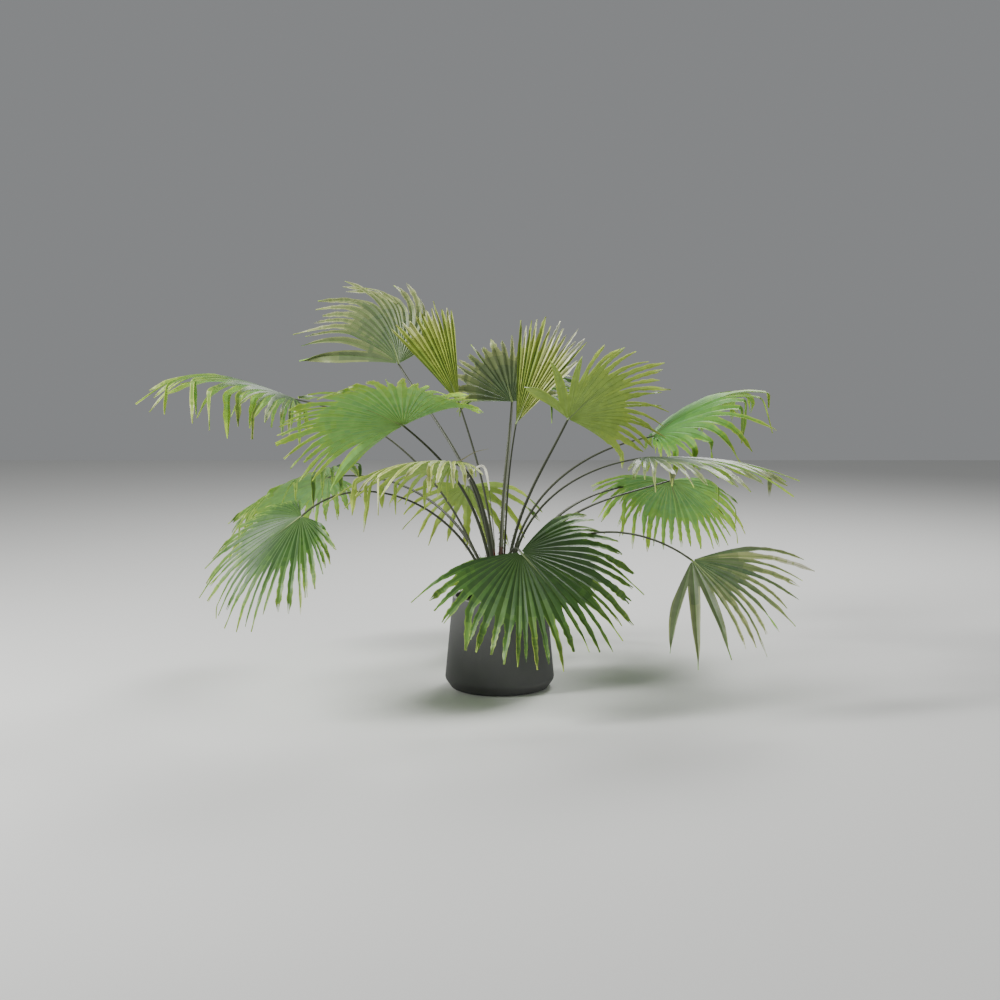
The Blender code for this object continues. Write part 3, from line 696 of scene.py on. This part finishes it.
def make_petiole(frond, seed, finishes):
    chance = np.random.default_rng(seed + PETIOLE_SEED)
    line = petiole_line(frond, PETIOLE_STATIONS - COSTA_STATIONS)
    line = np.concatenate([line, costa_line(frond)])
    along, side, raised = line_frames(line)
    blade_normal = blade_axes(frond)[2]
    turning = COSTA_STATIONS + COSTA_LEAD
    for k in range(turning):
        back = PETIOLE_STATIONS - 1 - k
        part = min(1.0, (turning - k) / COSTA_BLEND)
        raised[back] = unit(raised[back] * (1 - part) + blade_normal * part)
        side[back] = unit(np.cross(along[back], raised[back]))
    reached = np.concatenate([[0], np.cumsum(np.linalg.norm(np.diff(line, axis=0), axis=1))])[:, None]
    length = reached[PETIOLE_STATIONS - COSTA_STATIONS - 1, 0]
    share = np.minimum(reached / length, 1)
    beyond = np.clip((reached - length) / (reached[-1] - length), 0, 1)
    sheath = np.clip(1 - reached / SHEATH_LENGTH, 0, 1) ** SHEATH_CURVE
    width = PETIOLE_BASE_WIDTH + share * (PETIOLE_TIP_WIDTH - PETIOLE_BASE_WIDTH)
    width = width + sheath * SHEATH_WIDENING
    depth = PETIOLE_BASE_DEPTH + share * (PETIOLE_TIP_DEPTH - PETIOLE_BASE_DEPTH)
    width = width * (1 - COSTA_NARROWING * beyond)
    depth = depth * (1 - COSTA_THINNING * beyond)
    section = np.array(SECTION)
    sides = len(section)
    points = (line[:, None] + side[:, None] * (width * section[:, 0])[..., None]
              + raised[:, None] * (depth * section[:, 1])[..., None]).reshape(-1, 3)
    quads = tube_quads(PETIOLE_STATIONS, sides)[:, ::-1]
    column = np.tile(np.arange(sides), PETIOLE_STATIONS - 1)
    row = np.repeat(np.arange(PETIOLE_STATIONS - 1), sides)
    # The ridges along the top of the section take the painted highlight
    shades = np.where((column <= 1) | (column == 4) | (column == 5), STALK_HIGHLIGHT_AND_SPINES, STALK)
    shades = np.where(beyond[row + 1, 0] > 0, COSTA, shades)
    shades = np.where(sheath[row, 0] > 0, SHEATH, shades)
    faces = [quads]
    marks = [shades]
    points = [points]
    start = PETIOLE_STATIONS * sides
    ends = []
    for ring in (0, (PETIOLE_STATIONS - 1) * sides):
        for k in range(1, sides - 2, 2):
            cap = (ring, ring + k, ring + k + 1, ring + k + 2)
            ends.append(cap if ring == 0 else cap[::-1])
    faces.append(np.array(ends))
    marks.append(np.full(len(ends), STALK))
    for flank in (-1, 1):
        at = SHEATH_LENGTH * SPINY_FROM
        while at < length * SPINY_SHARE:
            k = int(np.searchsorted(reached[:, 0], at)) - 1
            shrink = 1 - SPINE_SHRINKING * at / length
            root = line[k] + along[k] * (at - reached[k, 0])
            root = root + side[k] * flank * width[k] * SPINE_ROOT[0] + raised[k] * depth[k] * SPINE_ROOT[1]
            out = unit(side[k] * flank + along[k] * -SPINE_BACKWARD + raised[k] * SPINE_RISE)
            spine_points, spine_faces = make_spine(root, out, along[k], raised[k], shrink, start)
            points.append(spine_points)
            faces.append(spine_faces)
            marks.append(np.full(len(spine_faces), STALK_HIGHLIGHT_AND_SPINES))
            start += len(spine_points)
            at += SPINE_SPACING * chance.uniform(*SPINE_SPACING_SCATTER)
    solids = ["petiole_" + frond.name + end for end in ("", "_lower", "_upper")]
    nodes = [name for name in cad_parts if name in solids]
    mesh = mixed_mesh("stalk_" + frond.name, np.concatenate(points), np.concatenate(faces),
                      np.concatenate(marks))
    add_piece("stalk_" + frond.name, mesh, finishes, nodes)


def smooth_line(stops, stations):
    """A smooth line through every stop, its steps shared out evenly among the spans between them."""
    stops = np.array(stops)
    padded = np.concatenate([2 * stops[:1] - stops[1:2], stops, 2 * stops[-1:] - stops[-2:-1]])
    at = np.linspace(0, len(stops) - 1, stations)
    low = np.minimum(at.astype(int), len(stops) - 2)
    t = (at - low)[:, None]
    p0, p1, p2, p3 = (padded[low + k] for k in range(4))
    return p1 + 0.5 * t * (p2 - p0 + t * (2 * p0 - 5 * p1 + 4 * p2 - p3 + t * (3 * (p1 - p2) + p3 - p0)))


def ribbon(line, widths, outward, start):
    """Points and faces of a thin strip along a line, its flat side turned outward."""
    along = unit(np.gradient(line, axis=0))
    side = unit(np.cross(along, outward))
    flat = np.cross(side, along)
    corners = ((-0.5, -1), (0.5, -1), (0.5, 1), (-0.5, 1))
    rings = [line + side * (widths * across)[:, None] + flat * (STRAP_HALF_THICKNESS * up)
             for across, up in corners]
    points = np.stack(rings, axis=1).reshape(-1, 3)
    quads = tube_quads(len(line), 4, start)
    last = start + (len(line) - 1) * 4
    ends = np.array([(start + 3, start + 2, start + 1, start), (last, last + 1, last + 2, last + 3)])
    return points, np.concatenate([quads, ends])


# The litter's materials, in the order that its faces number them
HUSK, DEAD_STALK, DEAD_LEAF, DYING_STALK = range(4)

# Withered pieces in the crown: the stops of each, its widest width and where that is, and its finish
WITHERED = (
    (((-0.012, -0.024, 0.305), (-0.015, -0.034, 0.420), (-0.027, -0.045, 0.545), (-0.030, -0.048, 0.572)),
     0.0034, 0.1, DYING_STALK),
    (((-0.028, -0.047, 0.556), (-0.035, -0.050, 0.600), (-0.044, -0.050, 0.621), (-0.060, -0.050, 0.620),
      (-0.078, -0.050, 0.600), (-0.084, -0.050, 0.586)), 0.0085, 0.25, DEAD_LEAF),
    (((-0.026, -0.018, 0.296), (-0.055, -0.026, 0.350), (-0.079, -0.032, 0.379), (-0.085, -0.034, 0.417)),
     0.0060, 0.5, DEAD_STALK),
    (((-0.122, -0.338, 0.661), (-0.100, -0.340, 0.669), (-0.064, -0.342, 0.690), (-0.028, -0.344, 0.699)),
     0.0040, 0.1, DEAD_STALK),
)


def make_crown_litter():
    """Torn brown sheaths round the foot of the stalks, and the withered stalks that stand among them."""
    chance = np.random.default_rng(LITTER_SEED)
    points = []
    faces = []
    marks = []
    start = 0
    strips = []
    for k in range(STRAPS):
        bearing = 360 * (k + chance.uniform(-STRAP_BEARING_SCATTER, STRAP_BEARING_SCATTER)) / STRAPS
        low = chance.uniform(STRAP_LOWEST, STRAP_LOWEST + STRAP_LOW_SCATTER)
        top = low + chance.uniform(*STRAP_LENGTHS)
        lean = chance.uniform(*STRAP_LEANS)
        root = stem_radius(low) + STRAP_CLEARANCE
        out = heading_vector(bearing, 0)
        away = heading_vector(bearing + chance.uniform(-STRAP_TURN, STRAP_TURN), 0)
        clear = out * (root + STRAP_STAND_OFF)
        lower, upper = (low * (1 - bend) + top * bend for bend in STRAP_BENDS)
        stops = (out * (root - STRAP_SINK) + UP * low, clear + UP * lower,
                 clear + away * lean * STRAP_BEND_LEAN + UP * upper, clear + away * lean + UP * top)
        strips.append((stops, chance.uniform(*STRAP_WIDTHS), STRAP_WIDEST_AT, HUSK))
    for stops, widest, where, finish in strips + list(WITHERED):
        line = smooth_line(stops, STRAP_STATIONS)
        share = np.linspace(0, 1, STRAP_STATIONS)
        widening = LITTER_FOOT_WIDTH + (1 - LITTER_FOOT_WIDTH) * share / where
        narrowing = 1 - LITTER_NARROWING * (share - where) / (1 - where)
        outline = np.where(share < where, widening, narrowing)
        widths = widest * outline * chance.uniform(*LITTER_RAGGED, STRAP_STATIONS)
        outward = unit(np.array((line[0, 0], line[0, 1], 0.0)))
        strip_points, strip_faces = ribbon(line, widths, outward, start)
        points.append(strip_points)
        faces.append(strip_faces)
        marks.append(np.full(len(strip_faces), finish))
        start += len(strip_points)
    mesh = quad_mesh("crown_litter", np.concatenate(points), np.concatenate(faces), np.concatenate(marks),
                     sharp=60)
    finishes = [mottled_finish("husk_brown", linear((104, 52, 38)), 0.4, 60.0, 0.9, 0.8, 400.0),
                mottled_finish("dead_stalk", linear((150, 146, 112)), 0.25, 60.0, 0.75, 0.4, 300.0),
                mottled_finish("dead_white", linear((206, 204, 186)), 0.15, 40.0, 0.7, 0.4, 300.0),
                mottled_finish("dying_stalk", linear((74, 80, 56)), 0.25, 60.0, 0.7, 0.4, 300.0)]
    add_piece("crown_litter", mesh, finishes)


def mixed_mesh(name, points, faces, shades):
    """A mesh of quads, and of triangles where a face's last two corners are the same."""
    loops = [tuple(f[:3]) if f[2] == f[3] else tuple(f) for f in faces.tolist()]
    mesh = bpy.data.meshes.new(name)
    mesh.from_pydata(points.tolist(), [], loops)
    mesh.polygons.foreach_set("material_index", shades.astype(np.int32))
    mesh.update()
    mesh.shade_smooth()
    mesh.set_sharp_from_angle(angle=math.radians(STALK_SHARP_ANGLE))
    return mesh


# Blades

def blade_axes(frond):
    """The middle rib's direction, the blade's right side and its upper normal."""
    axis = heading_vector(frond.heading, frond.pitch)
    level_side = unit(np.cross(axis, UP))
    level_normal = np.cross(level_side, axis)
    roll = math.radians(frond.roll)
    side = level_side * math.cos(roll) - level_normal * math.sin(roll)
    normal = level_normal * math.cos(roll) + level_side * math.sin(roll)
    return axis, side, normal


def walk_ribs(frond, angles, limp, knee_at, knee_turn, sway):
    """Places along every rib in equal steps, while weight and drift turn it and sway bends it."""
    axis, side, normal = blade_axes(frond)
    heading = np.outer(np.cos(angles), axis) + np.outer(np.sin(angles), side)
    across = -np.outer(np.sin(angles), axis) + np.outer(np.cos(angles), side)
    share = angles / math.radians(frond.spread)
    trim = np.where(angles < 0, *frond.trim)
    step = (frond.radius * (1 - trim * share * share) / WALK_STEPS)[:, None]
    place = np.tile(np.array(frond.hub), (len(angles), 1))
    places = [place]
    load = DOWN + np.array(frond.drift)
    bend_steps = (BEND_END - BEND_START) * WALK_STEPS
    knee_steps = KNEE_REACH * WALK_STEPS
    for k in range(WALK_STEPS):
        middle = (k + 0.5) / WALK_STEPS
        turn = np.full(len(angles), frond.sag / WALK_STEPS)
        if BEND_START < middle < BEND_END:
            turn += limp * frond.hang / bend_steps
        turn += np.where(np.abs(middle - knee_at) < KNEE_REACH / 2, knee_turn / knee_steps, 0)
        pull = load - heading * (heading @ load)[:, None]
        heading = heading + pull * turn[:, None] + across * sway[0, k, :, None]
        heading = unit(heading + normal * sway[1, k, :, None])
        place = place + heading * step
        places.append(place)
    return np.array(places)


def sample(places, shares):
    """Points at shares of each rib; places is (step, rib, 3) and shares is (station, rib)."""
    at = np.clip(shares, 0, 1) * WALK_STEPS
    low = np.minimum(at.astype(int), WALK_STEPS - 1)
    part = (at - low)[..., None]
    rib = np.arange(places.shape[1])[None, :]
    return places[low, rib] * (1 - part) + places[low + 1, rib] * part


# Points across a segment: edge, margin, the rib's two sides, margin, edge
EDGE_L, MARGIN_L, RIB_L, RIB_R, MARGIN_R, EDGE_R = range(6)
STRIPS = 5


def between(values):
    """The values at the edges between segments, from the values at the segments."""
    padded = np.concatenate([values[:1], values, values[-1:]])
    return (padded[1:] + padded[:-1]) / 2


def make_blade(frond, seed, finishes):
    """One blade: ribs that droop, segments fused at first and then free, both faces and all rims."""
    chance = np.random.default_rng(seed)
    tears = np.random.default_rng(seed + TEAR_SEED)
    count = frond.segments
    spread = math.radians(frond.spread)
    segment = np.arange(count)
    shares_of_fan = chance.uniform(*FAN_SHARES, count)
    broad = (segment < frond.broad) | (segment >= count + min(frond.broad, 0))
    shares_of_fan[broad] *= BROAD_GAIN
    edges = np.concatenate([[0], np.cumsum(shares_of_fan)])
    edges = spread * (2 * edges / edges[-1] - 1)
    ribs = (edges[1:] + edges[:-1]) / 2

    limp = 1 + DROOP_SCATTER * 2 * chance.uniform(-1, 1, count)
    reach = 1 - LENGTH_SCATTER * chance.uniform(0, 1, count) ** LENGTH_CURVE
    blunt = tears.uniform(0, 1, count) < frond.blunt
    reach = reach - np.where(blunt, tears.uniform(0.0, TORN_OFF, count), 0)
    tip_left = np.where(blunt, tears.uniform(*TORN_WIDTHS, count), TIP_LEFT)
    knee_at = chance.uniform(*frond.knee_at, count)
    knee_turn = np.where(chance.uniform(0, 1, count) < frond.knees, chance.uniform(*KNEE_TURNS, count), 0)
    along_rib = (np.arange(WALK_STEPS) / WALK_STEPS)[:, None]
    sway = np.zeros((2, WALK_STEPS, count))
    for direction in sway:
        for waves in SWAY_WAVES:
            swing = np.sin(2 * math.pi * (waves * along_rib + chance.uniform(0, 1, count)))
            direction += swing * chance.normal(0, 1, count) * frond.stray * waves / WALK_STEPS
        direction *= np.clip((along_rib - frond.notch) / SWAY_ONSET, 0, 1)
    calm = np.zeros(count + 1)
    rib_paths = walk_ribs(frond, ribs, limp, knee_at, knee_turn, sway)
    calm_sway = np.zeros((2, WALK_STEPS, count + 1))
    edge_paths = walk_ribs(frond, edges, between(limp), calm + NO_KNEE, calm, calm_sway)

    fused_end = max(FUSED_END, frond.notch + FUSED_PAST_NOTCH)
    fused = np.linspace(FUSED_START, fused_end, FUSED_STATIONS)
    free = np.linspace(0, 1, FREE_STATIONS + 1)[1:]
    shares = np.concatenate([np.repeat(fused[:, None], count, 1),
                             fused_end + free[:, None] * (reach - fused_end)])
    stations = len(shares)
    station = np.arange(stations)[:, None]
    rib_at = sample(rib_paths, shares)
    edge_at = sample(edge_paths, np.repeat(fused[:, None], count + 1, 1))

    along = unit(np.gradient(rib_at, axis=0))
    side = np.empty_like(along)
    side[:FUSED_STATIONS] = edge_at[:, 1:] - edge_at[:, :-1]
    twist = chance.normal(0, TWIST_SCATTER, count)[:, None]
    for k in range(stations):
        if k >= FUSED_STATIONS:
            side[k] = side[k - 1] + np.cross(side[k - 1], along[k]) * twist
        side[k] -= along[k] * (side[k] * along[k]).sum(-1, keepdims=True)
        side[k] = unit(side[k])
    normal = np.cross(side, along)

    # The station where each edge between two segments comes apart; the blade's two outer edges are free
    notch_share = frond.notch + chance.normal(0, NOTCH_SCATTER, count + 1)
    notch_share[:-1][broad] *= BROAD_NOTCH
    notch_share[1:][broad] *= BROAD_NOTCH
    notch = np.searchsorted(fused, np.clip(notch_share, NOTCH_FIRST, fused_end - NOTCH_LAST_GAP))
    base = int(np.searchsorted(fused, frond.notch))

    points = np.empty((stations, count, 6, 3))
    pleat = frond.pleat * (edges[1:] - edges[:-1]) * frond.radius * np.minimum(shares, frond.notch)
    taper_to = chance.uniform(*NARROWINGS, count)
    for column, sign, outer in ((EDGE_L, -1, 0), (EDGE_R, 1, count - 1)):
        edge_row = edge_at[:, :-1] if sign < 0 else edge_at[:, 1:]
        bound = np.where(segment == outer, base, notch[:-1] if sign < 0 else notch[1:])
        half = np.linalg.norm(edge_row[bound, segment] - rib_at[bound, segment], axis=-1)
        gone = np.clip((shares - fused[bound]) / (reach - fused[bound]), 0, 1)
        tip = np.clip((1 - gone) / TIP_TAPER, tip_left, 1) ** TIP_CURVE
        opened = np.clip(gone / GAP_REACH, 0, 1)
        ripple = np.sin(gone * chance.uniform(*RAGGED_RATES, count) + chance.uniform(0, PHASE, count))
        ragged = 1 + RAGGED * ripple * opened
        width = half * (1 - OPENING * opened - taper_to * gone) * tip * ragged
        width = np.where(broad, half * (1 - gone ** BROAD_CURVE) * tip, width)
        fold = pleat * np.clip(1 - gone, PLEAT_LEFT, 1)
        loose = rib_at + side * (sign * width)[..., None] + normal * fold[..., None]
        held = edge_row[np.minimum(station, FUSED_STATIONS - 1), segment] + normal * fold[..., None]
        points[:, :, column] = np.where((station <= bound)[..., None], held, loose)
    whole = np.linalg.norm(points[:, :, EDGE_R] - points[:, :, EDGE_L], axis=-1)
    rib_half = np.minimum(RIB_HALF_WIDTH * (1 - RIB_SHRINKING * shares), whole * RIB_WIDTH_LIMIT)

    # Tips: most segments part into two lobes along the rib
    parted = chance.uniform(0, 1, count) < PARTED_TIPS
    split = np.where(parted, stations - 1 - chance.integers(*PARTED_STATIONS, count), stations - 1)
    gape = np.clip((station - split) / np.maximum(stations - 1 - split, 1), 0, 1) * parted
    valley = pleat * np.clip((reach - shares) / (1 - frond.notch), PLEAT_LEFT, 1)
    low = rib_at - normal * valley[..., None]
    offset = rib_half + gape * whole * TIP_GAPE
    points[:, :, RIB_L] = low - side * offset[..., None]
    points[:, :, RIB_R] = low + side * offset[..., None]
    lift = normal * (pleat * MARGIN_LIFT)[..., None]
    for margin, edge, rib in ((MARGIN_L, EDGE_L, RIB_L), (MARGIN_R, EDGE_R, RIB_R)):
        points[:, :, margin] = points[:, :, edge] * MARGIN_OUT + points[:, :, rib] * MARGIN_IN + lift

    index = np.arange(stations * count * 6).reshape(stations, count, 6)
    joined = station <= notch[None, 1:-1]
    index[:, 1:, EDGE_L] = np.where(joined, index[:, :-1, EDGE_R], index[:, 1:, EDGE_L])
    total = index.size
    skin = np.repeat(normal[:, :, None, :], 6, axis=2) * HALF_THICKNESS
    upper = (points + skin).reshape(-1, 3)
    skin[:, :, RIB_L:MARGIN_R] *= 1 + RIB_DROP / HALF_THICKNESS
    under = (points - skin).reshape(-1, 3)

    def strip(rows, first, second):
        """Faces between two lines of points along every segment; rows says which of them to keep."""
        faces = np.stack([first[:-1], second[:-1], second[1:], first[1:]], axis=-1)
        return faces[rows]

    def cap(line, c):
        return np.stack([line[:, c + 1], line[:, c + 1] + total, line[:, c] + total, line[:, c]], axis=-1)

    middle_share = (shares[1:] + shares[:-1]) / 2
    step = station[:-1]
    spray = chance.uniform(-SPRAY, SPRAY, (stations - 1, count)) * np.where(broad, BROAD_SPRAY, 1)
    tone = chance.normal(0, frond.streaks, count) * np.where(broad, BROAD_STREAKS, 1) + spray
    shades = len(LEAF_LOOKS["straw"])
    levels = {}
    rise = np.where(broad, BROAD_RISE * middle_share ** BROAD_SHADE_CURVE, middle_share ** SHADE_CURVE)
    for face, added, slope, start in (("upper", frond.upper, UPPER_SLOPE, 0),
                                      ("under", frond.under, UNDER_SLOPE, shades)):
        # broad lobes get a lift of painted light
        level = (added + SHADE_START + slope * rise + tone + np.where(broad, BROAD_PAINTED_LIGHT, 0)) * shades
        edge_level = level + np.where(step >= notch[None, 1:], MARGIN_SHADE, 0)
        levels[face] = [np.clip(value.astype(int), 0, shades - 1) + start for value in (level, edge_level)]

    quads = []
    marks = []

    def add(faces, values):
        quads.append(faces)
        marks.append(values)

    everywhere = np.ones((stations - 1, count), dtype=bool)
    for c in range(STRIPS):
        on_rib = c == RIB_L
        margin = c in (0, STRIPS - 1)
        rows = step < split if on_rib else everywhere
        above = np.full(rows.sum(), 2 * shades) if on_rib else levels["upper"][margin][rows]
        below = np.full(rows.sum(), 2 * shades + 1) if on_rib else levels["under"][margin][rows]
        add(strip(rows, index[:, :, c], index[:, :, c + 1]), above)
        add(strip(rows, index[:, :, c + 1] + total, index[:, :, c] + total), below)
        at = split if on_rib else np.full(count, stations - 1)
        add(cap(index[at, segment], c), levels["under"][1][-1])
        add(cap(index[0], c)[:, ::-1], levels["under"][0][0])
    left_free = step >= np.where(segment == 0, 0, notch[:-1])[None, :]
    right_free = step >= np.where(segment == count - 1, 0, notch[1:])[None, :]
    for rows, c, facing_left in ((left_free, EDGE_L, True), (step >= split, RIB_L, False),
                                 (step >= split, RIB_R, True), (right_free, EDGE_R, False)):
        outer = index[:, :, c]
        inner = outer + total
        faces = strip(rows, inner, outer) if facing_left else strip(rows, outer, inner)
        add(faces, levels["under"][1][rows])

    mesh = quad_mesh("blade_" + frond.name, np.concatenate([upper, under]), np.concatenate(quads),
                     np.concatenate(marks), sharp=BLADE_SHARP_ANGLE)
    finishes = finishes[frond.looks[0]] + finishes[frond.looks[1]] + finishes["rib"]
    add_piece("blade_" + frond.name, mesh, finishes, ("frond_" + frond.name,))


def main():
    make_camera()
    make_studio()
    make_pot()
    make_soil()
    make_stem()
    stalk = stalk_finishes()
    make_crown_litter()
    leaves = leaf_finishes()
    for seed, frond in enumerate(FRONDS):
        make_petiole(frond, seed, stalk)
        make_blade(frond, seed, leaves)


main()
